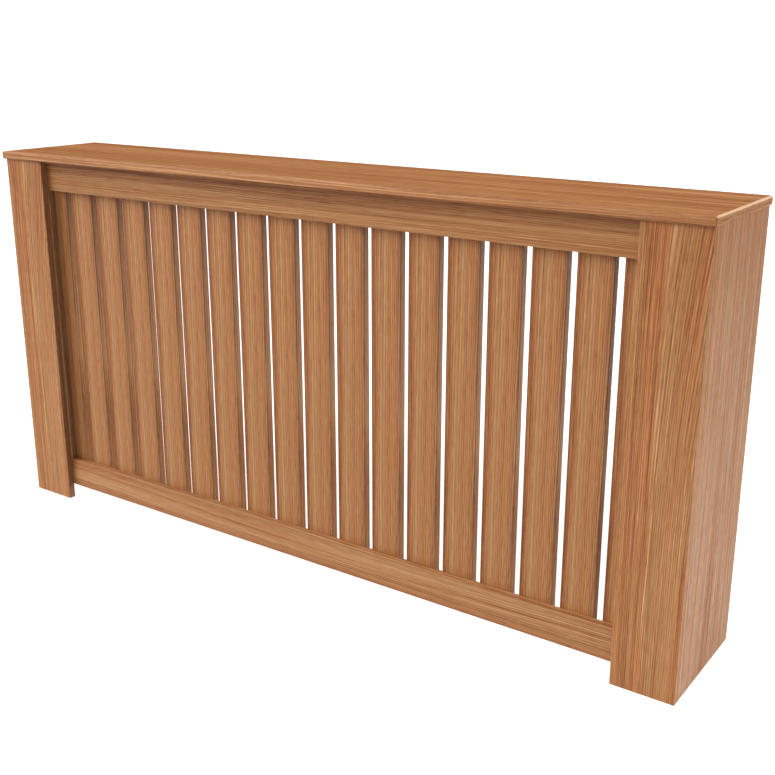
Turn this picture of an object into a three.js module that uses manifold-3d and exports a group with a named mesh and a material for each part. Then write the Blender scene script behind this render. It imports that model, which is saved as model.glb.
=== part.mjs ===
// Radiator cover cabinet: a slatted front, two folded side legs and a shelf, all of 16 mm board.
// Millimetres. +X runs along the cover, +Z is up, and the slatted front faces -Y.
// The origin is on the floor, under the middle of the shelf.

import * as THREE from 'three';
import { ConvexGeometry } from 'three/addons/geometries/ConvexGeometry.js';
import { mergeVertices } from 'three/addons/utils/BufferGeometryUtils.js';
import Module from 'manifold-3d';

// ---------------------------------------------------------------- driving dimensions

const WIDTH = 1600;           // the shelf, end to end
const DEPTH = 264;            // the shelf, front to back
const HEIGHT = 800;           // floor to the top of the shelf
const BOARD = 16;             // one board, used for everything
const ARRIS = 1;              // chamfer on the edges of the upright boards and rails
const SHELF_ARRIS = 2.75;     // chamfer on the shelf's edges
const FRONT_OVERHANG = 8;     // shelf past the posts
const SIDE_OVERHANG = 4;      // shelf past the side panels
const POST_WIDTH = 114;
const RAIL_HEIGHT = 63;
const TOE_GAP = 32;           // floor to the bottom rail

const SLAT_COUNT = 18;
const SLAT_WIDTH = 64;
const SLAT_PITCH = 80;
const SLAT_ROW_SHIFT = 2;     // the row of slats sits this far right of centre
const SLAT_INSET = 8;         // slat ends, short of the rails' outer edges

const ROUND_SIDES = 12;       // facets of small round holes and rods
const FIT_GAP = 0.3;          // round a piece that stands in a hole

const CAM = { radius: 7.4, length: 12.4, hollow: 4.5, hollowWidth: 7.2, slotWidth: 5.2, sides: 36 };
const CAM_POCKET = { radius: 7.5, depth: 12.75 };
const CAM_DROP = 24;          // shelf underside to the cam's axis
const CAM_TURN = 180;         // degrees from locked to free
const CAM_Y = { front: -44, rear: 68 };
const BOLT = { head: 3.2, headHeight: 3, neck: 2, shank: 3.4, thread: 2.8, threadLength: 11 };
const BOLT_HOLE = { edge: 4, shelf: 3.2, shelfDepth: 11.5 };

const DOWEL = { radius: 3.75, length: 27, inShelf: 9.5 };
const DOWEL_Y = { front: -12, rear: 36 };
const RAIL_DOWEL_X = [-480, 0, 480];

const BRACKET = { leg: 30, height: 40, plate: 2, hole: 2.5 };
const WALL_BRACKET_Z = 640;   // lower edge of the two wall brackets

// ---------------------------------------------------------------- places worked out from them

const underShelf = HEIGHT - BOARD;
const outerX = WIDTH / 2 - SIDE_OVERHANG;
const innerX = outerX - BOARD;
const postInnerX = outerX - POST_WIDTH;
const rearY = DEPTH / 2;
const frontY = FRONT_OVERHANG - DEPTH / 2;
const frameY = frontY + BOARD;
const slatY = frameY + BOARD;
const slatRearY = slatY + BOARD;
const stretcherY = rearY - BOARD;
const railTop = TOE_GAP + RAIL_HEIGHT;
const upperRailBottom = underShelf - RAIL_HEIGHT;
const camZ = underShelf - CAM_DROP;
const boardMiddleX = innerX + BOARD / 2;

const SIDES = { left: -1, right: 1 };

// ---------------------------------------------------------------- finishes

const finish = (color, roughness, metalness) => () =>
  new THREE.MeshStandardMaterial({ color, roughness, metalness });

const FINISHES = {
  uprightBoard: finish(0xb27c55, 0.5, 0),
  lengthwiseBoard: finish(0xb37a4d, 0.5, 0),
  slatBoard: finish(0xa97851, 0.5, 0),
  beech: finish(0xd9b98a, 0.7, 0),
  zinc: finish(0x9a9ca0, 0.45, 0.9),
  steel: finish(0xc4c6c8, 0.35, 0.9),
};

// ---------------------------------------------------------------- solids

const wasm = await Module();
wasm.setup();

const AXES = {
  x: new THREE.Matrix4().set(0, 0, 1, 0, 1, 0, 0, 0, 0, 1, 0, 0, 0, 0, 0, 1),
  y: new THREE.Matrix4().set(0, 1, 0, 0, 0, 0, 1, 0, 1, 0, 0, 0, 0, 0, 0, 1),
  z: new THREE.Matrix4(),
};
const HALF_TURN = new THREE.Matrix4().makeScale(-1, -1, 1);

function solid(geometry) {
  const bare = geometry.index ? geometry.toNonIndexed() : geometry.clone();
  bare.deleteAttribute('normal');
  bare.deleteAttribute('uv');
  const merged = mergeVertices(bare);
  const vertProperties = new Float32Array(merged.attributes.position.array);
  const triVerts = new Uint32Array(merged.index.array);
  return new wasm.Manifold(new wasm.Mesh({ numProp: 3, vertProperties, triVerts }));
}

function geometryOf(manifold) {
  const { vertProperties, triVerts } = manifold.getMesh();
  const geometry = new THREE.BufferGeometry();
  geometry.setAttribute('position', new THREE.BufferAttribute(vertProperties, 3));
  geometry.setIndex(new THREE.BufferAttribute(triVerts, 1));
  return geometry;
}

function cut(geometry, tools) {
  return geometryOf(tools.reduce((body, tool) => body.subtract(solid(tool)), solid(geometry)));
}

// A box between two corners, with all twelve edges chamfered.
function board(low, high, arris = ARRIS) {
  const points = [];
  for (let corner = 0; corner < 8; corner += 1) {
    const ends = [corner & 1, (corner >> 1) & 1, (corner >> 2) & 1];
    for (let face = 0; face < 3; face += 1) {
      const point = ends.map((end, axis) => {
        const inset = axis === face ? 0 : arris;
        return end ? high[axis] - inset : low[axis] + inset;
      });
      points.push(new THREE.Vector3(...point));
    }
  }
  return new ConvexGeometry(points);
}

function block(low, high) {
  const size = high.map((value, axis) => value - low[axis]);
  const middle = high.map((value, axis) => (value + low[axis]) / 2);
  return new THREE.BoxGeometry(...size).translate(...middle);
}

// An outline pushed along an axis from one place to another. On axis x the outline lies in
// Y and Z, on axis z in X and Y.
function push(shape, axis, from, to, chamfer = 0) {
  const geometry = new THREE.ExtrudeGeometry(shape, {
    depth: to - from - 2 * chamfer,
    curveSegments: 1,
    bevelEnabled: chamfer > 0,
    bevelThickness: chamfer,
    bevelSize: chamfer,
    bevelOffset: -chamfer,
    bevelSegments: 1,
  });
  return geometry.translate(0, 0, from + chamfer).applyMatrix4(AXES[axis]);
}

// A round rod along an axis, given as the centre of its first end and its length.
function rod(radius, axis, start, length, sides = ROUND_SIDES) {
  const outline = new THREE.Shape(ring(radius, sides));
  const geometry = push(outline, axis, 0, length);
  return geometry.translate(...start);
}

function ring(radius, sides) {
  return Array.from({ length: sides }, (_, side) => {
    const angle = (side + 0.5) * 2 * Math.PI / sides;
    return new THREE.Vector2(radius * Math.cos(angle), radius * Math.sin(angle));
  });
}

// An outline whose corners are cut off by the arris, apart from the sharp ones.
function chamferedShape(corners) {
  const points = corners.flatMap(({ at, sharp }, index) => {
    const corner = new THREE.Vector2(...at);
    if (sharp) return [corner];
    const before = new THREE.Vector2(...corners.at(index - 1).at);
    const after = new THREE.Vector2(...corners[(index + 1) % corners.length].at);
    const towards = (end) => end.sub(corner).normalize().multiplyScalar(ARRIS).add(corner);
    return [towards(before), towards(after)];
  });
  return new THREE.Shape(points);
}

// ---------------------------------------------------------------- the group

const group = new THREE.Group();

function add(name, geometry, material) {
  const mesh = new THREE.Mesh(geometry, FINISHES[material]());
  mesh.name = name;
  group.add(mesh);
}

// ---------------------------------------------------------------- legs

// Seen from above, a leg is an L: the front post and the side panel, folded at the outer corner.
function legOutline(sign) {
  const corners = [
    { at: [sign * outerX, frontY] },
    { at: [sign * postInnerX, frontY] },
    { at: [sign * postInnerX, frameY] },
    { at: [sign * innerX, frameY], sharp: true },
    { at: [sign * innerX, rearY] },
    { at: [sign * outerX, rearY] },
  ];
  return chamferedShape(corners);
}

// Everything on the post's side of the mitre, as a block that the leg is cut with.
function mitreBlock(sign) {
  const beyond = 64;
  const outline = new THREE.Shape([
    new THREE.Vector2(sign * (outerX + beyond), frontY - beyond),
    new THREE.Vector2(sign * (postInnerX - beyond), frontY - beyond),
    new THREE.Vector2(sign * (postInnerX - beyond), frameY + beyond),
    new THREE.Vector2(sign * (innerX - beyond), frameY + beyond),
  ]);
  return push(outline, 'z', -beyond, HEIGHT + beyond);
}

function camPocket(sign, y) {
  const start = sign < 0 ? -innerX - CAM_POCKET.depth : innerX - 1;
  return rod(CAM_POCKET.radius, 'x', [start, y, camZ], CAM_POCKET.depth + 1, CAM.sides);
}

function edgeHole(x, y, radius, depth) {
  return rod(radius, 'z', [x, y, underShelf - depth], depth + 1);
}

function legHoles(sign) {
  const x = sign * boardMiddleX;
  const dowelDepth = DOWEL.length - DOWEL.inShelf + FIT_GAP;
  return [
    ...Object.values(CAM_Y).map((y) => camPocket(sign, y)),
    ...Object.values(CAM_Y).map((y) => edgeHole(x, y, BOLT_HOLE.edge, CAM_DROP)),
    ...Object.values(DOWEL_Y).map((y) => edgeHole(x, y, DOWEL.radius + FIT_GAP, dowelDepth)),
  ];
}

for (const [side, sign] of Object.entries(SIDES)) {
  const leg = solid(push(legOutline(sign), 'z', 0, underShelf, ARRIS));
  const postSide = solid(mitreBlock(sign));
  const panel = geometryOf(leg.subtract(postSide));
  add(`${side}_front_post`, geometryOf(leg.intersect(postSide)), 'uprightBoard');
  add(`${side}_side_panel`, cut(panel, legHoles(sign)), 'uprightBoard');
}

// ---------------------------------------------------------------- front frame and slats

function railHoles(y, z) {
  const depth = DOWEL.length - DOWEL.inShelf + FIT_GAP;
  return RAIL_DOWEL_X.map((x) => rod(DOWEL.radius + FIT_GAP, 'z', [x, y, z - depth], depth + 1));
}

function rail(y, z) {
  return board([-innerX, y, z], [innerX, y + BOARD, z + RAIL_HEIGHT]);
}

// A rail under the shelf, with its dowel holes.
function upperRail(y) {
  return cut(rail(y, upperRailBottom), railHoles(y + BOARD / 2, underShelf));
}

function stile(sign) {
  const [low, high] = sign < 0 ? [-innerX, -postInnerX] : [postInnerX, innerX];
  return board([low, frameY, railTop], [high, slatY, upperRailBottom]);
}

add('top_rail', upperRail(frameY), 'lengthwiseBoard');
add('bottom_rail', rail(frameY, TOE_GAP), 'lengthwiseBoard');
for (const [side, sign] of Object.entries(SIDES)) {
  add(`${side}_frame_stile`, stile(sign), 'uprightBoard');
}

for (let index = 0; index < SLAT_COUNT; index += 1) {
  const middle = SLAT_ROW_SHIFT + SLAT_PITCH * (index - (SLAT_COUNT - 1) / 2);
  const low = [middle - SLAT_WIDTH / 2, slatY, TOE_GAP + SLAT_INSET];
  const high = [middle + SLAT_WIDTH / 2, slatRearY, underShelf - SLAT_INSET];
  const number = String(index + 1).padStart(2, '0');
  add(`slat_${number}`, board(low, high), 'slatBoard');
}

add('rear_stretcher', upperRail(stretcherY), 'lengthwiseBoard');

// ---------------------------------------------------------------- shelf

function shelfHole(x, y, radius, depth) {
  return rod(radius, 'z', [x, y, underShelf - 1], depth + 1);
}

function shelfHoles() {
  const dowelHole = (x, y) => shelfHole(x, y, DOWEL.radius + FIT_GAP, DOWEL.inShelf + FIT_GAP);
  const boltHole = (x, y) => shelfHole(x, y, BOLT_HOLE.shelf, BOLT_HOLE.shelfDepth);
  const overLeg = (x) => [
    ...Object.values(CAM_Y).map((y) => boltHole(x, y)),
    ...Object.values(DOWEL_Y).map((y) => dowelHole(x, y)),
  ];
  const overRail = (y) => RAIL_DOWEL_X.map((x) => dowelHole(x, y + BOARD / 2));
  return [
    ...Object.values(SIDES).flatMap((sign) => overLeg(sign * boardMiddleX)),
    ...[frameY, stretcherY].flatMap(overRail),
  ];
}

const shelfLow = [-WIDTH / 2, -DEPTH / 2, underShelf];
const shelf = board(shelfLow, [WIDTH / 2, rearY, HEIGHT], SHELF_ARRIS);
add('top_shelf', cut(shelf, shelfHoles()), 'lengthwiseBoard');

// ---------------------------------------------------------------- cams, bolts and dowels

// The cam lies on X, with its face at x = 0 and its body behind it. The bolt comes down from
// above, and the slot lets the cam turn round the bolt's neck without turning the bolt.
function camDisc() {
  const middle = BOARD / 2;
  const neckAllowance = 30;
  const half = THREE.MathUtils.degToRad(CAM_TURN / 2 + neckAllowance);
  const slot = new THREE.Shape([new THREE.Vector2(0, 0), ...sector(CAM.radius + 2, -half, half)]);
  const recess = { length: 3, width: 0.6, depth: 1.5 };
  const disc = push(new THREE.Shape(ring(CAM.radius, CAM.sides)), 'x', -CAM.length, 0);
  return cut(disc, [
    rod(CAM.hollow, 'x', [-middle - CAM.hollowWidth / 2, 0, 0], CAM.hollowWidth, CAM.sides),
    push(slot, 'x', -middle - CAM.slotWidth / 2, CAM.slotWidth / 2 - middle),
    block([-recess.depth, -recess.length, -recess.width], [1, recess.length, recess.width]),
    block([-recess.depth, -recess.width, -recess.length], [1, recess.width, recess.length]),
  ]);
}

function sector(radius, from, to) {
  const steps = 24;
  return Array.from({ length: steps + 1 }, (_, step) => {
    const angle = from + (to - from) * step / steps;
    return new THREE.Vector2(radius * Math.cos(angle), radius * Math.sin(angle));
  });
}

// The bolt from its thread in the shelf down to the head that the cam holds.
function camBolt() {
  const headTop = BOLT.headHeight / 2 - CAM_DROP;
  const shoulder = CAM.radius + 1 - CAM_DROP;
  const profile = [
    [0, headTop - BOLT.headHeight],
    [BOLT.head, headTop - BOLT.headHeight],
    [BOLT.head, headTop],
    [BOLT.neck, headTop],
    [BOLT.neck, shoulder],
    [BOLT.shank, shoulder + 1],
    [BOLT.shank, -1],
    [BOLT.thread, -1],
    [BOLT.thread, BOLT.threadLength - 1],
    [0, BOLT.threadLength],
  ];
  return turned(profile);
}

function dowel() {
  const bottom = DOWEL.inShelf - DOWEL.length;
  const chamfer = 1;
  return turned([
    [0, bottom],
    [DOWEL.radius - chamfer, bottom],
    [DOWEL.radius, bottom + chamfer],
    [DOWEL.radius, DOWEL.inShelf - chamfer],
    [DOWEL.radius - chamfer, DOWEL.inShelf],
    [0, DOWEL.inShelf],
  ]);
}

// A profile of [radius, height] pairs, turned about Z.
function turned(profile) {
  const points = profile.map(([radius, height]) => new THREE.Vector2(radius, height));
  const lathed = new THREE.LatheGeometry(points, ROUND_SIDES);
  return geometryOf(solid(lathed.applyMatrix4(AXES.x)));
}

for (const [side, sign] of Object.entries(SIDES)) {
  const x = sign * boardMiddleX;
  for (const [place, y] of Object.entries(CAM_Y)) {
    const cam = sign < 0 ? camDisc() : camDisc().applyMatrix4(HALF_TURN);
    add(`shelf_cam_${side}_${place}`, cam.translate(sign * innerX, y, camZ), 'zinc');
    add(`shelf_bolt_${side}_${place}`, camBolt().translate(x, y, underShelf), 'steel');
  }
  for (const [place, y] of Object.entries(DOWEL_Y)) {
    add(`shelf_dowel_${side}_${place}`, dowel().translate(x, y, underShelf), 'beech');
  }
}

RAIL_DOWEL_X.forEach((x, index) => {
  add(`rail_dowel_${index + 1}`, dowel().translate(x, frameY + BOARD / 2, underShelf), 'beech');
  add(`stretcher_dowel_${index + 1}`, dowel().translate(x, stretcherY + BOARD / 2, underShelf), 'beech');
});

// ---------------------------------------------------------------- angle brackets

// An angle bracket in a corner. One leg lies on the side panel, the other on the board that
// meets it at y, on the side that facing points to.
function bracket(sign, y, facing, z) {
  const { leg, plate, height, hole } = BRACKET;
  const at = (along, away) => new THREE.Vector2(sign * (innerX - along), y + facing * away);
  const corners = [at(0, 0), at(leg, 0), at(leg, plate), at(plate, plate), at(plate, leg), at(0, leg)];
  const outline = new THREE.Shape(corners);
  const middleZ = z + height / 2;
  const middleLeg = (leg + plate) / 2;
  const onPanel = [sign < 0 ? -innerX - 1 : innerX - plate - 1, y + facing * middleLeg, middleZ];
  const onBoard = [sign * (innerX - middleLeg), (facing > 0 ? y : y - plate) - 1, middleZ];
  return cut(push(outline, 'z', z, z + height), [
    rod(hole, 'x', onPanel, plate + 2),
    rod(hole, 'y', onBoard, plate + 2),
  ]);
}

const bracketInset = (RAIL_HEIGHT - BRACKET.height) / 2;
for (const [side, sign] of Object.entries(SIDES)) {
  const upper = upperRailBottom + bracketInset;
  add(`frame_bracket_${side}_top`, bracket(sign, slatY, 1, upper), 'steel');
  add(`frame_bracket_${side}_bottom`, bracket(sign, slatY, 1, TOE_GAP + bracketInset), 'steel');
  add(`stretcher_bracket_${side}`, bracket(sign, stretcherY, -1, upper), 'steel');
  add(`wall_bracket_${side}`, bracket(sign, rearY, -1, WALL_BRACKET_Z), 'steel');
}

export default group;
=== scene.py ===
"""Looks of the radiator cover cabinet: boards in wood-grain laminate, fittings, light and camera.

Metres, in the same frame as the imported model: +X along the cover, +Z up, slatted front at -Y.
"""

import math

import bmesh
import bpy
from mathutils import Matrix, Vector


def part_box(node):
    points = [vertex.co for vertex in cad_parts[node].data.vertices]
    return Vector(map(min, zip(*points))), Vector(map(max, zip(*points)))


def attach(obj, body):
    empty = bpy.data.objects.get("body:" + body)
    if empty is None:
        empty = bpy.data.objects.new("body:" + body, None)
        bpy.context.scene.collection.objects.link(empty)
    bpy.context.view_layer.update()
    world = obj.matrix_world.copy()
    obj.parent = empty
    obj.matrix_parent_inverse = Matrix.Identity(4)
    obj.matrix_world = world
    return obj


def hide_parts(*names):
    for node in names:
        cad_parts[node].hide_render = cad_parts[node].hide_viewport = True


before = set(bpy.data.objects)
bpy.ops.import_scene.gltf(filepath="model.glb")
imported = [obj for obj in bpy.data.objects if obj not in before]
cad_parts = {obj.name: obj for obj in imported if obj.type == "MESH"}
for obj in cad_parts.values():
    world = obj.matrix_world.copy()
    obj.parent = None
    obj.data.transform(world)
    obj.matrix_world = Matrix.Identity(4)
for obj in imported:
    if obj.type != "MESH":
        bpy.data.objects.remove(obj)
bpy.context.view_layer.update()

MM = 0.001
X, Y, Z = 0, 1, 2
SIDES = {"left": -1, "right": 1}

# ---------------------------------------------------------------- sizes


def extent(node, axis):
    """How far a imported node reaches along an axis."""
    low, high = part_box(node)
    return high[axis] - low[axis]


SLAT_COUNT = 18
SLAT_WIDTH = extent("slat_01", X)
POST_WIDTH = extent("left_front_post", X)
UPRIGHT_LENGTH = extent("left_front_post", Z)
SIDE_WIDTH = extent("left_side_panel", Y)
RAIL_WIDTH = extent("top_rail", Z)
SHELF_WIDTH = extent("top_shelf", Y)
SHELF_LENGTH = extent("top_shelf", X)

ARRIS = 1 * MM  # flat planed on the edges of every board but the shelf
SHELF_ARRIS = 2.75 * MM
EASE = 0.25 * MM  # rounding on both edges of that flat

PAN_HEAD = {
    "radius": 4.0 * MM,
    "height": 2.3 * MM,
    "arm": 2.6 * MM,  # the cross recess, from its middle
    "blade": 0.6 * MM,  # half the width of one of its arms
    "taper": 0.1 * MM,
    "depth": 1.3 * MM,
}
PAN_OUTLINE = [(0.94, 0), (1, 0.28), (0.9, 0.72)]  # upwards, in shares of the head's radius and height
SCREW_SIDES = 12
SHANK = {"radius": 1.7 * MM, "point": 5.0 * MM}
SLAT_SCREW_LENGTH = 27 * MM
SLAT_SCREW_SPREAD = 18 * MM  # each side of the slat's middle
SLAT_SCREW_Z = (68 * MM, 748 * MM)
FRAME_SCREW_LENGTH = 26 * MM
FRAME_SCREW_X = 730 * MM
FRAME_SCREW_Z = (63 * MM, 256 * MM, 560 * MM, 752 * MM)
BRACKET_SCREW_LENGTH = 13 * MM

PLATE = 2 * MM  # thickness of the angle brackets
PLATE_CORNER = 5 * MM
PLATE_BEND = 3 * MM  # outside radius of the fold
PLATE_HOLE = {"radius": 2.4 * MM, "sides": 24}
CORNER_STEPS = 5
BEND_STEPS = 6

CAM_POCKET = {"radius": 7.5 * MM, "sides": 48}
POCKET_DEPTH = 12.75 * MM
DRILL_PAST = 2 * MM  # how much longer a drill is than the hole that it makes

END_BAND_PLACE = 50 * MM  # where on the foil the strip lies that is glued to a board's ends

# how much of its normal along an axis tells what a face is
SQUARE_ON = 0.9  # a face that looks squarely along the axis
WITH_ARRIS = 0.5  # such a face, or a flat beside it
FLAT_TOP = 0.98  # the top of the shelf, and no flat beside it
SLANTED = 0.3  # a face or flat that is turned at all towards the axis

SHARP = math.radians(20)  # an edge that turns by more is planed or eased
MERGE = 0.001 * MM  # points that are closer are one point

# ---------------------------------------------------------------- mesh helpers


def verts_of(geometry):
    return [v for v in geometry if isinstance(v, bmesh.types.BMVert)]


def edges_of(geometry):
    return [e for e in geometry if isinstance(e, bmesh.types.BMEdge)]


def mesh_from(name, bm):
    mesh = bpy.data.meshes.new(name)
    bm.to_mesh(mesh)
    bm.free()
    return mesh


def in_scene(name, data):
    """A new object at the origin."""
    made = bpy.data.objects.new(name, data)
    bpy.context.scene.collection.objects.link(made)
    return made


def box_matrix(low, high):
    """The matrix that turns a unit cube into the box between two corners."""
    low, high = Vector(low), Vector(high)
    return Matrix.Translation((low + high) / 2) @ Matrix.Diagonal((*(high - low), 1))


def turn_to(direction):
    """The rotation that takes +Z to a direction."""
    return Vector((0, 0, 1)).rotation_difference(Vector(direction)).to_matrix().to_4x4()


def outer_edges(bm):
    bm.normal_update()
    return [e for e in bm.edges if e.is_convex and e.calc_face_angle(0) > SHARP]


def bevel(bm, edges, offset, segments):
    """Cuts the edges off, and gives back the faces that this makes."""
    made = bmesh.ops.bevel(
        bm,
        geom=edges,
        offset=offset,
        offset_type="OFFSET",
        affect="EDGES",
        segments=segments,
        profile=0.5,
        material=-1,
    )
    return made["faces"]


def planed(bm, width=ARRIS):
    """Planes a flat on every outer edge, then eases the edges of that flat."""
    arris = bm.faces.layers.float.new("arris")
    for face in bevel(bm, outer_edges(bm), width, 1):
        face[arris] = 1.0
    for face in bevel(bm, outer_edges(bm), EASE, 2):
        face[arris] = 1.0
        face.smooth = True


def main_axis(normal, preferred):
    """The axis that a face looks along. A flat at 45 degrees goes with the preferred one."""
    strength = [abs(normal[a]) + (0.1 if a == preferred else 0) for a in (X, Y, Z)]
    return strength.index(max(strength))


def lay_foil(bm, grain, wide, good):
    """Unrolls the printed foil round a board, into the UV map "foil" in metres.

    u runs across the grain and v along it, both from the board's own low corner. wide is the axis
    across the board, and good is -1 or 1 for the side of the thin axis that shows. The ends of the
    board have a strip of the foil laid across them.
    """
    thin = 3 - grain - wide
    foil = bm.loops.layers.uv.new("foil")
    low = [min(v.co[a] for v in bm.verts) for a in (X, Y, Z)]
    high = [max(v.co[a] for v in bm.verts) for a in (X, Y, Z)]
    surface = high[thin] if good > 0 else low[thin]
    width = high[wide] - low[wide]
    bm.normal_update()
    for face in bm.faces:
        facing = main_axis(face.normal, thin)
        side = 1 if face.normal[facing] > 0 else -1
        for loop in face.loops:
            at = loop.vert.co
            across, along = at[wide] - low[wide], at[grain] - low[grain]
            if facing == grain:
                across, along = at[thin] - low[thin] + END_BAND_PLACE, across
            elif facing == wide:
                edge = width if side > 0 else 0.0
                across = edge + side * abs(at[thin] - surface)
            elif side != good:
                across = width - across
            loop[foil].uv = (across, along)


def piece(name, bm, finishes, nodes=(), body="cabinet"):
    """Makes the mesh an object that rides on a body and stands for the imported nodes."""
    made = in_scene(name, mesh_from(name, bm))
    for finish in finishes:
        made.data.materials.append(finish)
    if nodes:
        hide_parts(*nodes)
    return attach(made, body)


def drill(bm, middle, direction, depth, radius, sides):
    """Adds a drill to the cutters, as a cylinder round a middle point."""
    placed = Matrix.Translation(middle) @ turn_to(direction)
    bmesh.ops.create_cone(bm, cap_ends=True, segments=sides, radius1=radius, radius2=radius, depth=depth,
                          matrix=placed)


def bored(made, cutter):
    """Takes the cutters out of a piece. The holes get the finish that the cutters' faces number."""
    tool = in_scene("cutter", mesh_from("cutter", cutter))
    modifier = made.modifiers.new("bore", "BOOLEAN")
    modifier.operation = "DIFFERENCE"
    modifier.solver = "EXACT"
    modifier.object = tool
    cut = bpy.data.meshes.new_from_object(made.evaluated_get(bpy.context.evaluated_depsgraph_get()))
    made.modifiers.clear()
    made.data = cut
    bpy.data.objects.remove(tool)


# ---------------------------------------------------------------- node helpers


def put(tree, kind, sockets=None, **settings):
    """One node with its settings. A socket's value is a number, a colour or another node's output."""
    made = tree.nodes.new(kind)
    for key, value in settings.items():
        setattr(made, key, value)
    for key, value in (sockets or {}).items():
        if isinstance(value, bpy.types.NodeSocket):
            tree.links.new(value, made.inputs[key])
        else:
            made.inputs[key].default_value = value
    return made


def calc(tree, operation, a, b=0.0, clamp=False):
    return put(tree, "ShaderNodeMath", {0: a, 1: b}, operation=operation, use_clamp=clamp).outputs[0]


def scaled(tree, value, factor, offset=0.0):
    return put(tree, "ShaderNodeMath", {0: value, 1: factor, 2: offset}, operation="MULTIPLY_ADD").outputs[0]


def centred(tree, level, width):
    """Makes a level from 0 to 1 swing to both sides of 0, over a width."""
    return scaled(tree, level, width, -width / 2)


def mixed(tree, factor, a, b, blend="MIX"):
    made = put(tree, "ShaderNodeMix", {0: factor, 6: a, 7: b}, data_type="RGBA", blend_type=blend)
    return made.outputs[2]


def ramp(tree, value, stops, interpolation="LINEAR"):
    """A colour ramp. Each stop is (place, colour), or (place, grey level)."""
    made = put(tree, "ShaderNodeValToRGB", {0: value})
    made.color_ramp.interpolation = interpolation
    elements = made.color_ramp.elements
    while len(elements) < len(stops):
        elements.new(0.5)
    for element, (place, colour) in zip(elements, stops):
        element.position = place
        element.color = colour if isinstance(colour, tuple) else (colour, colour, colour, 1)
    return made.outputs[0]


def srgb(red, green, blue):
    """A colour written as on a screen, 0 to 255, as the linear colour that shaders take."""
    levels = [c / 255 for c in (red, green, blue)]
    return (*(c / 12.92 if c <= 0.04045 else ((c + 0.055) / 1.055) ** 2.4 for c in levels), 1.0)


def noise(tree, vector, scale, detail=2.0, roughness=0.5, shift=(0, 0, 0), kind="3D"):
    """Noise with its own scale on each axis, in cells a metre."""
    mapped = put(tree, "ShaderNodeMapping", {"Vector": vector, "Scale": scale, "Location": shift})
    sockets = {"Vector": mapped.outputs[0], "Scale": 1.0, "Detail": detail, "Roughness": roughness}
    return put(tree, "ShaderNodeTexNoise", sockets, noise_dimensions=kind).outputs[0]


def fresh_material(name):
    material = bpy.data.materials.new(name)
    material.use_nodes = True
    tree = material.node_tree
    tree.nodes.clear()
    shader = put(tree, "ShaderNodeBsdfPrincipled")
    put(tree, "ShaderNodeOutputMaterial", {"Surface": shader.outputs[0]})
    return material, tree, shader


def own_place(tree):
    """The place on the piece, in metres."""
    return put(tree, "ShaderNodeTexCoord").outputs["Object"]


def coloured(tree, shader, colour, roughness):
    tree.links.new(colour, shader.inputs["Base Color"])
    tree.links.new(roughness, shader.inputs["Roughness"])


def embossed(tree, shader, height, strength, depth):
    bump = put(tree, "ShaderNodeBump", {"Height": height, "Strength": strength, "Distance": depth})
    tree.links.new(bump.outputs[0], shader.inputs["Normal"])


# ---------------------------------------------------------------- wood laminate

WOOD_TONES = [
    (0.00, srgb(120, 66, 30)),
    (0.24, srgb(153, 92, 48)),
    (0.50, srgb(179, 121, 74)),
    (0.76, srgb(199, 146, 97)),
    (1.00, srgb(228, 183, 134)),
]
REDDER = (1.045, 0.962, 0.905, 1)
YELLOWER = (0.972, 1.012, 1.025, 1)
# pale rubbed wood on worn edges, and also the painted highlight on the shelf's end flats
PALE_WEAR_AND_HIGHLIGHT = srgb(224, 168, 112)
UNTINTED = (1, 1, 1, 1)

# the patterns that make up the printed wood: cells a metre across and along the grain, where the
# pattern starts, its detail and its roughness
PRINT = {
    "sway": ((5, 0.9), (0, 0), 1.0, 0.5),
    "waver": ((30, 2.2), (0, 0), 1.0, 0.5),
    "crowding": ((16, 0.55), (3, 7), 1.0, 0.5),
    "broad_bands": ((19, 0.6), (0, 0), 2.0, 0.5),
    "fine_bands": ((120, 1.1), (5, 2), 3.0, 0.6),
    "clusters": ((26, 0.9), (6, 3), 1.0, 0.5),
    "streaks": ((380, 4.5), (1, 9), 2.0, 0.6),
    "fibres": ((850, 28), (4, 4), 1.0, 0.5),
    "pores": ((1100, 40), (8, 1), 1.0, 0.5),
    "patches": ((40, 0.8), (2, 6), 2.0, 0.5),
}
BAND_DRIFT_CELLS = (9, 1.4, 1)
BAND_DRIFT = 0.16  # how far the figure's bands wander, as a share of the board's width
WAVER = 3 * MM  # how far the grain wavers, beside its longer sway
RING_PITCH = 3.6 * MM
RING_CROWDING = 35 * MM  # how far the rings crowd together and apart
RING_EDGE = 1.6  # more makes the dark side of a ring narrower
RING_DEPTH = 0.3
RING_SHARE = 0.385  # mean level of the growth rings
STREAK_DEPTH = 0.75
STREAK_CLUSTERING = (3.2, -0.6)  # turns the clusters' level into the strength of the streaks
FIBRE_DEPTH = 0.4
PORE_DEPTH = 0.15
BAND_WARMTH = 0.6  # how much redder the dark bands of the figure are
DARK_DULLNESS = 0.14  # how much duller the darkest wood is than the lightest
PORE_DULLNESS = 0.12
FIBRE_RELIEF = 0.5
PORE_RELIEF = 0.8
RUB_CELLS = (60, 60, 60)

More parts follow.
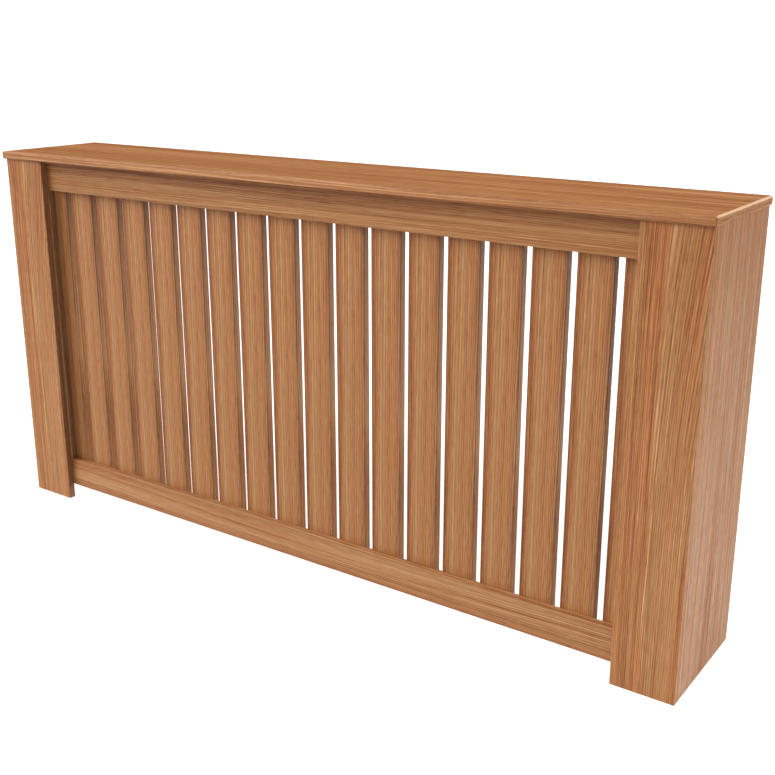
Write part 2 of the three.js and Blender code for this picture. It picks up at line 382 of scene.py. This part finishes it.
EVEN = [(0.0, 0.5), (1.0, 0.5)]
LAMINATE = {
    "figure": EVEN,  # how the tone changes across the board, as (share of its width, grey level)
    "width": POST_WIDTH,
    "drift": EVEN,  # the same along its length
    "length": UPRIGHT_LENGTH,
    "contrast": 1.0,
    "broad": 0.5,  # depth of the broad bands
    "streaky": 0.85,  # depth of the fine bands
    "tint": UNTINTED,
    # painted sheen: the foot tint makes a board paler and pinker towards its foot, for the white floor's
    # reflection
    "foot_tint": None,  # tint at the board's foot, which gives way to tint towards its head
    "stretch": 1.0,  # how many times longer the grain's pattern is
    "sway": 16 * MM,  # how far the grain sways
    "fan": 0.0,  # how much the lines of the grain spread apart towards the board's head
    "gloss": 0.35,
    "gloss_tint": UNTINTED,
    "roughness": 0.5,
    "wear": (0.05, 0.5),  # how far the flats along the edges are rubbed pale, from least to most; set high, as on the shelf's end flats, it is a painted highlight
}


def printed(tree, place, name):
    """One of the printed patterns, as a level that varies round one half."""
    cells, start, detail, roughness = PRINT[name]
    return noise(tree, place, (*cells, 1), detail, roughness, (*start, 0), "2D")


def figured_foil(tree, start, look):
    """The foil's own place, and the same pushed sideways so that the grain isn't dead straight."""
    foil = put(tree, "ShaderNodeUVMap", uv_map="foil").outputs[0]
    stretched = {"Vector": foil, "Location": (*start, 0), "Scale": (1, 1 / look["stretch"], 1)}
    moved = put(tree, "ShaderNodeMapping", stretched).outputs[0]
    swayed = centred(tree, printed(tree, moved, "sway"), look["sway"])
    wavered = centred(tree, printed(tree, moved, "waver"), WAVER)
    across, along = put(tree, "ShaderNodeSeparateXYZ", {0: foil}).outputs[:2]
    opened = calc(tree, "MULTIPLY", along, along)
    fanned = scaled(tree, calc(tree, "MULTIPLY", across, opened), -look["fan"])
    side = calc(tree, "ADD", calc(tree, "ADD", swayed, wavered), fanned)
    aside = put(tree, "ShaderNodeCombineXYZ", {0: side}).outputs[0]
    return foil, put(tree, "ShaderNodeVectorMath", {0: moved, 1: aside}, operation="ADD").outputs[0]


def board_figure(tree, foil, start, look):
    """The tone across the board, the tone along it, and the share of its length at each place."""
    across, along = put(tree, "ShaderNodeSeparateXYZ", {0: foil}).outputs[:2]
    wander = noise(tree, foil, BAND_DRIFT_CELLS, detail=1.0, shift=(*start, 0), kind="2D")
    place = calc(tree, "ADD", calc(tree, "DIVIDE", across, look["width"]), centred(tree, wander, BAND_DRIFT))
    height = calc(tree, "DIVIDE", along, look["length"])
    return ramp(tree, place, look["figure"], "EASE"), ramp(tree, height, look["drift"], "EASE"), height


def growth_rings(tree, grain):
    """Fine lines along the grain, each dark on one side and fading on the other."""
    across = put(tree, "ShaderNodeSeparateXYZ", {0: grain}).outputs[0]
    crowding = scaled(tree, printed(tree, grain, "crowding"), RING_CROWDING)
    place = calc(tree, "DIVIDE", calc(tree, "ADD", across, crowding), RING_PITCH)
    return calc(tree, "POWER", calc(tree, "FRACT", place), RING_EDGE)


def clustered_streaks(tree, grain):
    """Fine streaks that come in clusters, with calm wood between them."""
    clusters = scaled(tree, printed(tree, grain, "clusters"), *STREAK_CLUSTERING)
    return calc(tree, "MULTIPLY", centred(tree, printed(tree, grain, "streaks"), 1.0), clusters)


def wood_tone(tree, grain, bands, drift, look):
    """How light the wood is at each place, with its fibres and its pores."""
    contrast = look["contrast"]
    layers = [
        centred(tree, bands, contrast),
        centred(tree, drift, contrast),
        centred(tree, printed(tree, grain, "broad_bands"), look["broad"] * contrast),
        centred(tree, printed(tree, grain, "fine_bands"), look["streaky"] * contrast),
        scaled(tree, clustered_streaks(tree, grain), STREAK_DEPTH * contrast),
        scaled(tree, growth_rings(tree, grain), -RING_DEPTH * contrast),
    ]
    tone = 0.5 + RING_SHARE * RING_DEPTH * contrast
    for layer in layers:
        tone = calc(tree, "ADD", layer, tone)
    fibres = printed(tree, grain, "fibres")
    pores = ramp(tree, printed(tree, grain, "pores"), [(0.58, 0.0), (0.68, 1.0)])
    tone = calc(tree, "SUBTRACT", tone, scaled(tree, pores, PORE_DEPTH))
    tone = calc(tree, "ADD", tone, centred(tree, fibres, FIBRE_DEPTH), clamp=True)
    return tone, fibres, pores


def board_tint(tree, height, look):
    if not look["foot_tint"]:
        return look["tint"]
    # painted sheen, strongest at the foot and gone towards the head
    rise = ramp(tree, height, [(0.3, 0.0), (0.75, 0.42), (1.0, 1.0)])
    return mixed(tree, rise, look["foot_tint"], look["tint"])


def wood_colour(tree, grain, tone, bands, tint):
    warmth = calc(tree, "ADD", printed(tree, grain, "patches"), centred(tree, bands, BAND_WARMTH))
    shade = ramp(tree, warmth, [(0.34, REDDER), (0.66, YELLOWER)])
    colour = mixed(tree, 1.0, ramp(tree, tone, WOOD_TONES), shade, "MULTIPLY")
    return mixed(tree, 1.0, colour, tint, "MULTIPLY")


def worn_and_highlit_edges(tree, colour, wear):
    """Rubs the flats along the edges paler here and there, as wear; set high, as on the shelf's end flats,
    this pale colour is a painted highlight.
    """
    arris = put(tree, "ShaderNodeAttribute", attribute_name="arris").outputs["Fac"]
    least, most = wear
    rubbed_and_highlit = ramp(tree, noise(tree, own_place(tree), RUB_CELLS, detail=3.0), [(0.42, least), (0.62, most)])
    return mixed(tree, calc(tree, "MULTIPLY", arris, rubbed_and_highlit), colour, PALE_WEAR_AND_HIGHLIGHT)


def laminate(name, start, **changes):
    """Board faced with printed wood-grain foil. start is where on the print the board begins."""
    look = {**LAMINATE, **changes}
    material, tree, shader = fresh_material(name)
    foil, grain = figured_foil(tree, start, look)
    bands, drift, height = board_figure(tree, foil, start, look)
    tone, fibres, pores = wood_tone(tree, grain, bands, drift, look)
    colour = wood_colour(tree, grain, tone, bands, board_tint(tree, height, look))

    dullness = scaled(tree, tone, -DARK_DULLNESS, look["roughness"] + DARK_DULLNESS / 2)
    dullness = calc(tree, "ADD", dullness, scaled(tree, pores, PORE_DULLNESS))
    coloured(tree, shader, worn_and_highlit_edges(tree, colour, look["wear"]), dullness)
    shader.inputs["Specular IOR Level"].default_value = look["gloss"]
    shader.inputs["Specular Tint"].default_value = look["gloss_tint"]
    relief = calc(tree, "SUBTRACT", scaled(tree, fibres, FIBRE_RELIEF), scaled(tree, pores, PORE_RELIEF))
    embossed(tree, shader, relief, strength=0.25, depth=0.2 * MM)
    return material


POST_FIGURE = [
    (0.0, 0.52), (0.15, 0.47), (0.32, 0.44), (0.45, 0.65), (0.6, 0.57), (0.72, 0.52), (0.82, 0.56),
    (1.0, 0.52),
]
SIDE_FIGURE = [(0.0, 0.56), (0.3, 0.55), (0.45, 0.5), (0.62, 0.5), (0.68, 0.44), (0.78, 0.49), (1.0, 0.5)]
SLAT_FIGURE = [
    (0.0, 0.22), (0.1, 0.27), (0.2, 0.4), (0.28, 0.6), (0.4, 0.58), (0.5, 0.54), (0.72, 0.53),
    (0.85, 0.44), (1.0, 0.4),
]
# darker towards the rail's top, under the shelf: partly the print's dark band there, partly painted shade of
# the shelf's overhang
TOP_RAIL_FIGURE = [(0.0, 0.56), (0.2, 0.5), (0.43, 0.5), (0.6, 0.42), (0.75, 0.38), (0.88, 0.3)]
LOW_RAIL_FIGURE = [
    (0.0, 0.3), (0.2, 0.47), (0.35, 0.56), (0.55, 0.52), (0.7, 0.53), (0.82, 0.43), (1.0, 0.39),
]
SHELF_FIGURE = [
    (0.0, 0.46), (0.1, 0.52), (0.16, 0.53), (0.22, 0.47), (0.38, 0.46), (0.46, 0.58), (0.54, 0.56),
    (0.64, 0.5), (0.82, 0.52), (0.9, 0.46), (1.0, 0.44),
]
# painted shade: the uprights and slats grow darker towards their heads, under the shelf
SHADED_HEAD = [(0.0, 0.53), (0.5, 0.52), (0.75, 0.48), (1.0, 0.43)]
SHELF_DRIFT = [(0.0, 0.5), (0.4, 0.53), (0.6, 0.49), (1.0, 0.475)]

# what boards of a kind have in common
POST = {"figure": POST_FIGURE, "width": POST_WIDTH, "drift": SHADED_HEAD}
SIDE = {"figure": SIDE_FIGURE, "width": SIDE_WIDTH, "drift": SHADED_HEAD}
SLAT = {"figure": SLAT_FIGURE, "width": SLAT_WIDTH, "drift": SHADED_HEAD, "broad": 0.2, "streaky": 0.6}
RAIL = {"width": RAIL_WIDTH, "length": SHELF_LENGTH, "stretch": 1.6, "sway": 30 * MM}
SHELF = {"figure": SHELF_FIGURE, "width": SHELF_WIDTH}

upright_wood = laminate(
    "upright_laminate", (0.9, 2.1), **POST, gloss=0.28, sway=10 * MM, fan=0.45, broad=0.35, streaky=0.6,
)
# painted shade: the sides of the posts and stiles that face into the slatted recess get this darker, greyer
# laminate
recess_shade_wood = laminate("recess_shade_laminate", (0.9, 2.1), tint=(0.58, 0.71, 0.9, 1))
# painted sheen: the side panels are paler and pinker towards the foot and darker at the head, standing in for
# the floor's reflection, with their real shine turned low
side_wood = laminate(
    "side_laminate", (1.9, 5.1), **SIDE, tint=(0.885, 0.925, 0.96, 1), foot_tint=(1.15, 1.46, 2.35, 1),
    gloss=0.05, contrast=0.8,
)
slat_wood = laminate(
    "slat_laminate", (3.3, 0.4), **SLAT, tint=(0.91, 0.938, 0.927, 1), fan=0.15, wear=(0.0, 0.1),
)
# painted shade: the slats' sides and the flats beside them, in the gaps, are darker than their fronts
slat_edge_shade_wood = laminate(
    "slat_edge_shade_laminate", (3.3, 0.4), **SLAT, tint=(0.8, 0.85, 0.8, 1), wear=(0.0, 0.1),
)
rail_wood = laminate(
    "rail_laminate", (6.2, 12.9), **RAIL, tint=(0.86, 0.8, 0.76, 1), wear=(0.0, 0.15),
)
# painted shade: the top rail is tinted darker than the other rails, for the shade under the shelf's overhang
top_rail_wood = laminate(
    "top_rail_laminate", (6.2, 8.3), **RAIL, figure=TOP_RAIL_FIGURE, tint=(0.78, 0.78, 0.71, 1), contrast=0.9,
)
# painted sheen: the bottom rail is paler and greyer than the other rails, standing in for light from the
# white floor below
low_rail_wood = laminate(
    "low_rail_laminate", (6.2, 10.6), **RAIL, figure=LOW_RAIL_FIGURE, tint=(1.01, 1.1, 1.2, 1), contrast=0.9,
    wear=(0.0, 0.1),
)
shelf_wood = laminate(
    "shelf_laminate", (7.7, 3.9), **SHELF, drift=SHELF_DRIFT, length=SHELF_LENGTH, gloss=0.03, roughness=0.75,
    contrast=0.95, stretch=1.4,
)
# painted highlight: the shelf's end flats are rubbed pale all along, on top of their real shine
shelf_arris_highlight_wood = laminate(
    "shelf_arris_highlight_laminate", (7.7, 3.9), **SHELF, gloss=0.3, roughness=0.35, gloss_tint=(1.0, 0.7, 0.35, 1),
    contrast=0.8, wear=(0.9, 1.0),
)
# painted sheen: the shelf's end faces are paler and less saturated than the plain laminate, with their real
# shine turned low
shelf_end_sheen_wood = laminate("shelf_end_sheen_laminate", (7.7, 3.9), tint=(1.05, 1.13, 1.07, 1), gloss=0.05)

# ---------------------------------------------------------------- other materials


def board_core():
    """Chipboard, where a board is drilled."""
    material, tree, shader = fresh_material("board_core")
    voronoi = put(tree, "ShaderNodeTexVoronoi", {"Vector": own_place(tree), "Scale": 900.0})
    chips = put(tree, "ShaderNodeSeparateColor", {0: voronoi.outputs["Color"]}).outputs[0]
    tones = [(0.0, srgb(146, 112, 76)), (0.5, srgb(183, 150, 108)), (1.0, srgb(214, 186, 146))]
    coloured(tree, shader, ramp(tree, chips, tones), scaled(tree, chips, 0.15, 0.75))
    embossed(tree, shader, chips, strength=0.5, depth=0.3 * MM)
    return material


def beech():
    """Bare beech with short flecks, for the dowels."""
    material, tree, shader = fresh_material("beech")
    place = own_place(tree)
    flecks = noise(tree, place, (900, 900, 120))
    bands = noise(tree, place, (160, 160, 12), shift=(3, 1, 0))
    tone = calc(tree, "ADD", scaled(tree, flecks, 0.6), scaled(tree, bands, 0.4))
    tones = [(0.3, srgb(176, 134, 92)), (0.55, srgb(214, 180, 136)), (0.75, srgb(230, 202, 162))]
    coloured(tree, shader, ramp(tree, tone, tones), scaled(tree, flecks, 0.2, 0.6))
    embossed(tree, shader, flecks, strength=0.4, depth=0.2 * MM)
    return material


def metal(name, dark, light, blotch, roughness, relief):
    """Plated or cast metal: clouded colour, uneven shine, and fine scratches in a sandy skin.

    blotch is the clouds' scale in cells a metre, and relief how strong the sand and scratches are.
    """
    material, tree, shader = fresh_material(name)
    place = own_place(tree)
    clouds = noise(tree, place, (blotch, blotch, blotch), detail=3.0)
    sand = noise(tree, place, (2600, 2600, 2600), shift=(1, 2, 3))
    scratches = noise(tree, place, (3200, 3200, 140), detail=1.0, shift=(5, 1, 0))
    tone = calc(tree, "ADD", scaled(tree, clouds, 0.7), scaled(tree, sand, 0.3))
    shine = calc(tree, "ADD", scaled(tree, clouds, 0.25, roughness - 0.12), centred(tree, scratches, 0.12))
    coloured(tree, shader, ramp(tree, tone, [(0.32, dark), (0.66, light)]), shine)
    shader.inputs["Metallic"].default_value = 1.0
    grit = calc(tree, "ADD", sand, scaled(tree, scratches, 0.5))
    embossed(tree, shader, grit, strength=relief, depth=0.1 * MM)
    return material


core = board_core()
dowel_beech = beech()
cast_zinc = metal(
    "cast_zinc", srgb(120, 122, 126), srgb(168, 170, 174), blotch=420, roughness=0.5, relief=0.5,
)
zinc_plate = metal(
    "zinc_plate", srgb(148, 152, 158), srgb(188, 192, 197), blotch=160, roughness=0.4, relief=0.2,
)

# ---------------------------------------------------------------- boards


def square_board(node, arris=ARRIS):
    bm = bmesh.new()
    bmesh.ops.create_cube(bm, size=1.0, matrix=box_matrix(*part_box(node)))
    planed(bm, arris)
    return bm


def make_shelf():
    bm = square_board("top_shelf", SHELF_ARRIS)
    lay_foil(bm, grain=X, wide=Y, good=1)
    top, end_arris, end, rest = range(4)
    for face in bm.faces:
        along, up = abs(face.normal.x), face.normal.z
        if up > FLAT_TOP:
            face.material_index = top
        elif along > SLANTED:
            face.material_index = end_arris if up > SLANTED else end
        else:
            face.material_index = rest
    finishes = [shelf_wood, shelf_arris_highlight_wood, shelf_end_sheen_wood, rail_wood]
    piece("shelf_board", bm, finishes, ["top_shelf"])


def make_rails():
    finishes = {"top_rail": top_rail_wood, "bottom_rail": low_rail_wood, "rear_stretcher": rail_wood}
    for node, finish in finishes.items():
        bm = square_board(node)
        lay_foil(bm, grain=X, wide=Z, good=-1)
        piece(f"{node}_board", bm, [finish], [node])


def band_edges(bm, directions, least):
    """Gives the faces that look along X, in any of the directions given, the second finish."""
    bm.normal_update()
    for face in bm.faces:
        face.material_index = int(max(face.normal.x * d for d in directions) > least)


def make_stiles():
    for side, sign in SIDES.items():
        node = f"{side}_frame_stile"
        bm = square_board(node)
        lay_foil(bm, grain=Z, wide=X, good=-1)
        band_edges(bm, [-sign], SQUARE_ON)
        piece(f"{node}_board", bm, [upright_wood, recess_shade_wood], [node])


def make_slats():
    for number in range(1, SLAT_COUNT + 1):
        node = f"slat_{number:02d}"
        bm = square_board(node)
        lay_foil(bm, grain=Z, wide=X, good=-1)
        band_edges(bm, [-1, 1], WITH_ARRIS)
        piece(f"{node}_board", bm, [slat_wood, slat_edge_shade_wood], [node])


def leg_block(side):
    """The post and the side panel of one end as a single folded board, not yet cut at the mitre.

    With it come the inner corner of the fold, and the normal of the mitre, towards the panel.
    """
    post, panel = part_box(f"{side}_front_post"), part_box(f"{side}_side_panel")
    sign = SIDES[side]
    outer = sign * max(abs(panel[0].x), abs(panel[1].x))
    inner = sign * min(abs(panel[0].x), abs(panel[1].x))
    post_inner = sign * min(abs(post[0].x), abs(post[1].x))
    plan = [
        (outer, post[0].y),
        (post_inner, post[0].y),
        (post_inner, post[1].y),
        (inner, post[1].y),
        (inner, panel[1].y),
        (outer, panel[1].y),
    ]
    bm = bmesh.new()
    outline = bm.faces.new([bm.verts.new((x, y, panel[0].z)) for x, y in plan])
    raised = bmesh.ops.extrude_face_region(bm, geom=[outline])
    height = Vector((0, 0, panel[1].z - panel[0].z))
    bmesh.ops.translate(bm, vec=height, verts=verts_of(raised["geom"]))
    bmesh.ops.recalc_face_normals(bm, faces=bm.faces)
    planed(bm)
    return bm, Vector((inner, post[1].y, 0)), Vector((sign, 1, 0)).normalized()


def sawn(bm, point, normal):
    """Saws the mesh along a plane, keeps the part that the normal points to, and closes it."""
    whole = bm.verts[:] + bm.edges[:] + bm.faces[:]
    cut = bmesh.ops.bisect_plane(bm, geom=whole, plane_co=point, plane_no=normal, clear_inner=True)
    bmesh.ops.contextual_create(bm, geom=edges_of(cut["geom_cut"]))


def pocket_drills(side):
    """The drills for the round pockets of the two shelf cams, in the side panel's inner face."""
    bm = bmesh.new()
    for place in ("front", "rear"):
        low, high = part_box(f"shelf_cam_{side}_{place}")
        middle = (low + high) / 2
        face = SIDES[side] * min(abs(low.x), abs(high.x))
        middle.x = face + SIDES[side] * (POCKET_DEPTH - DRILL_PAST) / 2
        drill(bm, middle, (1, 0, 0), POCKET_DEPTH + DRILL_PAST, **CAM_POCKET)
    for face in bm.faces:
        face.material_index = 1
    return bm


def make_post(side):
    node = f"{side}_front_post"
    bm, corner, normal = leg_block(side)
    sawn(bm, corner, -normal)
    lay_foil(bm, grain=Z, wide=X, good=-1)
    band_edges(bm, [-SIDES[side]], SQUARE_ON)
    piece(f"{node}_board", bm, [upright_wood, recess_shade_wood], [node])


def make_side_panel(side):
    node = f"{side}_side_panel"
    bm, corner, normal = leg_block(side)
    sawn(bm, corner, normal)
    lay_foil(bm, grain=Z, wide=Y, good=SIDES[side])
    panel = piece(f"{node}_board", bm, [side_wood, core], [node])
    bored(panel, pocket_drills(side))


# ---------------------------------------------------------------- screws and brackets


def turned_screw(length):
    """An upright screw with a low round head and a pointed shank, open on top of the head.

    The underside of the head is at the origin.
    """
    outline = [(0, -length), (SHANK["radius"], SHANK["point"] - length), (SHANK["radius"], 0)]
    outline += [(x * PAN_HEAD["radius"], z * PAN_HEAD["height"]) for x, z in PAN_OUTLINE]
    bm = bmesh.new()
    verts = [bm.verts.new((x, 0, z)) for x, z in outline]
    edges = [bm.edges.new(pair) for pair in zip(verts, verts[1:])]
    half_step = Matrix.Rotation(math.pi / SCREW_SIDES, 3, "Z")
    bmesh.ops.rotate(bm, cent=(0, 0, 0), matrix=half_step, verts=verts)
    bmesh.ops.spin(bm, geom=verts + edges, cent=(0, 0, 0), axis=(0, 0, 1), angle=math.tau,
                   steps=SCREW_SIDES, use_merge=True)
    bmesh.ops.remove_doubles(bm, verts=bm.verts, dist=MERGE)
    return bm


def cross_head_screw(length):
    """The same with its head closed round a cross recess."""
    bm = turned_screw(length)
    rim = [e for e in bm.edges if e.is_boundary]
    arm, blade = PAN_HEAD["arm"], PAN_HEAD["blade"]
    outline = []
    for quarter in range(4):
        turned = Matrix.Rotation(quarter * math.pi / 2, 2)
        outline += [turned @ Vector(corner) for corner in ((arm, blade), (blade, blade), (blade, arm))]
    recess = bm.faces.new([bm.verts.new((*corner, PAN_HEAD["height"])) for corner in outline])
    bmesh.ops.bridge_loops(bm, edges=rim + recess.edges[:])
    bmesh.ops.recalc_face_normals(bm, faces=bm.faces)
    bmesh.ops.inset_region(bm, faces=[recess], thickness=PAN_HEAD["taper"], depth=-PAN_HEAD["depth"])
    return bm


def make_screws(name, places, length):
    """A piece of equal screws. A place is the middle of a head's underside and the way it stands up."""
    bm = cross_head_screw(length)
    first = bm.verts[:]
    form = first + bm.edges[:] + bm.faces[:]
    for middle, out in places:
        copied = bmesh.ops.duplicate(bm, geom=form)["geom"]
        bmesh.ops.transform(bm, matrix=Matrix.Translation(middle) @ turn_to(out), verts=verts_of(copied))
    bmesh.ops.delete(bm, geom=first, context="VERTS")
    piece(name, bm, [zinc_plate])


def make_slat_screws():
    places = []
    for number in range(1, SLAT_COUNT + 1):
        low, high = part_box(f"slat_{number:02d}")
        middle = (low.x + high.x) / 2
        for z in SLAT_SCREW_Z:
            for x in (middle - SLAT_SCREW_SPREAD, middle + SLAT_SCREW_SPREAD):
                places.append((Vector((x, high.y, z)), Vector((0, 1, 0))))
    make_screws("slat_screws", places, SLAT_SCREW_LENGTH)


def make_frame_screws():
    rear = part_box("left_frame_stile")[1].y
    places = []
    for sign in SIDES.values():
        for z in FRAME_SCREW_Z:
            places.append((Vector((sign * FRAME_SCREW_X, rear, z)), Vector((0, 1, 0))))
    make_screws("frame_screws", places, FRAME_SCREW_LENGTH)


def pushed(bm, edge, x, y):
    """Pulls a strip out of an edge, and gives back the strip's far edge."""
    made = bmesh.ops.extrude_edge_only(bm, edges=[edge])["geom"]
    bmesh.ops.translate(bm, vec=(x, y, 0), verts=verts_of(made))
    return edges_of(made)[0]


def folded_sheet(length, height):
    """The outside of a bracket without its thickness: two leaves from the origin, along +X and +Y."""
    bm = bmesh.new()
    edge = bm.edges.new([bm.verts.new((0, length, z)) for z in (0, height)])
    edge = pushed(bm, edge, 0, PLATE_BEND - length)
    bent = bmesh.ops.spin(bm, geom=[edge], cent=(PLATE_BEND, PLATE_BEND, 0), axis=(0, 0, 1),
                          angle=math.pi / 2, steps=BEND_STEPS)
    pushed(bm, edges_of(bent["geom_last"])[0], length - PLATE_BEND, 0)
    bmesh.ops.remove_doubles(bm, verts=bm.verts, dist=MERGE)
    ends = [v for v in bm.verts if max(v.co.x, v.co.y) > length - MERGE]
    bmesh.ops.bevel(bm, geom=ends, offset=PLATE_CORNER, offset_type="OFFSET", affect="VERTICES",
                    segments=CORNER_STEPS, profile=0.5, material=-1)
    return bm


def folded_plate(low, high, sign, facing):
    """A steel strip folded to an angle, with round corners.

    One leaf lies on the side panel, and the other on a board whose surface looks along facing.
    """
    corner = Vector((high.x if sign > 0 else low.x, low.y if facing > 0 else high.y, low.z))
    bm = folded_sheet(high.x - low.x, high.z - low.z)
    bmesh.ops.recalc_face_normals(bm, faces=bm.faces)
    # the faces look into the angle, so that the thickness goes to that side
    inwards = sum((f.normal.x + f.normal.y) * f.calc_area() for f in bm.faces) > 0
    if not inwards:
        bmesh.ops.reverse_faces(bm, faces=bm.faces)
    bmesh.ops.solidify(bm, geom=bm.faces[:], thickness=-PLATE)
    mirrored = Matrix.Diagonal((-sign, facing, 1, 1))
    bm.transform(Matrix.Translation(corner) @ mirrored)
    bmesh.ops.recalc_face_normals(bm, faces=bm.faces)
    return bm


def leaf_holes(low, high, sign, facing):
    """Middles of the two leaves' inner surfaces, each with the way that the surface looks."""
    height = (low.z + high.z) / 2
    from_corner = ((high.x - low.x) + PLATE) / 2
    corner_x = high.x if sign > 0 else low.x
    corner_y = low.y if facing > 0 else high.y
    on_panel = Vector((corner_x - sign * PLATE, corner_y + facing * from_corner, height))
    on_board = Vector((corner_x - sign * from_corner, corner_y + facing * PLATE, height))
    return [(on_panel, Vector((-sign, 0, 0))), (on_board, Vector((0, facing, 0)))]


def hole_drills(holes):
    """The drills for the screw holes, one in each leaf."""
    bm = bmesh.new()
    for middle, out in holes:
        drill(bm, middle - out * PLATE / 2, out, PLATE + DRILL_PAST, **PLATE_HOLE)
    return bm


# which way along Y the board looks that each bracket holds
BRACKETS = {
    "frame_bracket_{}_top": 1,
    "frame_bracket_{}_bottom": 1,
    "stretcher_bracket_{}": -1,
    "wall_bracket_{}": -1,
}


def make_brackets():
    screwed = []
    for side, sign in SIDES.items():
        for pattern, facing in BRACKETS.items():
            node = pattern.format(side)
            low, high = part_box(node)
            holes = leaf_holes(low, high, sign, facing)
            bm = folded_plate(low, high, sign, facing)
            plate = piece(f"{node}_plate", bm, [zinc_plate], [node])
            bored(plate, hole_drills(holes))
            screwed += holes[:1] if node.startswith("wall") else holes
    make_screws("bracket_screws", screwed, BRACKET_SCREW_LENGTH)


def finish_fittings():
    """The cams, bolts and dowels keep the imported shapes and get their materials."""
    finishes = {"shelf_cam": cast_zinc, "shelf_bolt": zinc_plate}
    for name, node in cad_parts.items():
        if node.hide_render:
            continue
        kind = "_".join(name.split("_")[:2])
        node.data.materials.clear()
        node.data.materials.append(finishes.get(kind, dowel_beech))


make_shelf()
make_rails()
make_stiles()
make_slats()
for leg_side in SIDES:
    make_post(leg_side)
    make_side_panel(leg_side)
make_slat_screws()
make_frame_screws()
make_brackets()
finish_fittings()

# ---------------------------------------------------------------- floor, light and camera

FLOOR_REACH = 60.0
FLOOR_GREY = 0.7
DOME = 0.42  # brightness of the surroundings for the light they give
FLOOR_LIFT = 0.75  # how much of the floor's white is there without light
FLOOR_LIFT_MIRRORED = 0.45

COVER_MIDDLE = (0, 0, 0.4)
SHELF_END = (0.8, 0, 0.8)
# each lamp's name, its direction and distance from its aim, its size, its own brightness, its aim
LAMPS = [
    ("key", (-1, -1, 1), 14.0, 9.33, 5.85, COVER_MIDDLE),
    ("back_fill", (0.8, 1, 0.35), 9.0, 5.0, 7.4, COVER_MIDDLE),
    ("edge_light", (0.138, 0.948, 0.287), 5.0, 1.2, 0.5, SHELF_END),
]

CAMERA_PLACE = (1.30690, -1.67548, 1.04395)
CAMERA_PITCH = -17.0188  # degrees from level
CAMERA_HEADING = 34.9385  # degrees, towards -X from +Y
CAMERA_LENS = 51.459  # in millimetres, as is the sensor
CAMERA_SENSOR = 36.0
CAMERA_SHIFT = (0.00318, -0.01712)


def showing_rays(tree):
    """Two switches, for rays that show the surroundings straight and for mirrored or passed ones."""
    path = put(tree, "ShaderNodeLightPath").outputs
    return path["Is Camera Ray"], calc(tree, "MAXIMUM", path["Is Glossy Ray"], path["Is Transmission Ray"])


def floor_paper():
    """Pale paper that looks white round the object, and keeps its shadow."""
    material = bpy.data.materials.new("studio_floor")
    material.use_nodes = True
    tree = material.node_tree
    tree.nodes.clear()
    paper = put(tree, "ShaderNodeBsdfDiffuse", {"Color": (FLOOR_GREY, FLOOR_GREY, FLOOR_GREY, 1)})
    straight, mirrored = showing_rays(tree)
    lift = calc(tree, "ADD", scaled(tree, straight, FLOOR_LIFT), scaled(tree, mirrored, FLOOR_LIFT_MIRRORED))
    glow = put(tree, "ShaderNodeEmission", {"Strength": lift})
    both = put(tree, "ShaderNodeAddShader", {0: paper.outputs[0], 1: glow.outputs[0]})
    put(tree, "ShaderNodeOutputMaterial", {"Surface": both.outputs[0]})
    return material


def make_floor():
    bm = bmesh.new()
    bmesh.ops.create_grid(bm, x_segments=1, y_segments=1, size=FLOOR_REACH)
    floor = in_scene("floor", mesh_from("floor", bm))
    floor.data.materials.append(floor_paper())


def make_surroundings():
    world = bpy.data.worlds.new("studio")
    bpy.context.scene.world = world
    world.use_nodes = True
    tree = world.node_tree
    tree.nodes.clear()
    strength = scaled(tree, calc(tree, "MAXIMUM", *showing_rays(tree)), 1.0 - DOME, DOME)
    background = put(tree, "ShaderNodeBackground", {"Color": (1, 1, 1, 1), "Strength": strength})
    put(tree, "ShaderNodeOutputWorld", {"Surface": background.outputs[0]})


def soft_lamp(name, direction, distance, size, brightness, aim):
    """A square lamp that looks at its aim from a direction."""
    data = bpy.data.lights.new(name, "AREA")
    data.shape = "SQUARE"
    data.size = size
    data.energy = brightness * size * size * math.pi
    lamp = in_scene(name, data)
    towards = Vector(direction).normalized()
    lamp.location = Vector(aim) + towards * distance
    lamp.rotation_euler = towards.to_track_quat("Z", "Y").to_euler()


def make_camera():
    data = bpy.data.cameras.new("camera")
    data.sensor_width = CAMERA_SENSOR
    data.lens = CAMERA_LENS
    data.shift_x, data.shift_y = CAMERA_SHIFT
    camera = in_scene("camera", data)
    camera.location = CAMERA_PLACE
    camera.rotation_euler = [math.radians(a) for a in (90 + CAMERA_PITCH, 0, CAMERA_HEADING)]
    bpy.context.scene.camera = camera


make_floor()
make_surroundings()
for lamp in LAMPS:
    soft_lamp(*lamp)
make_camera()
bpy.context.scene.view_settings.view_transform = "Standard"
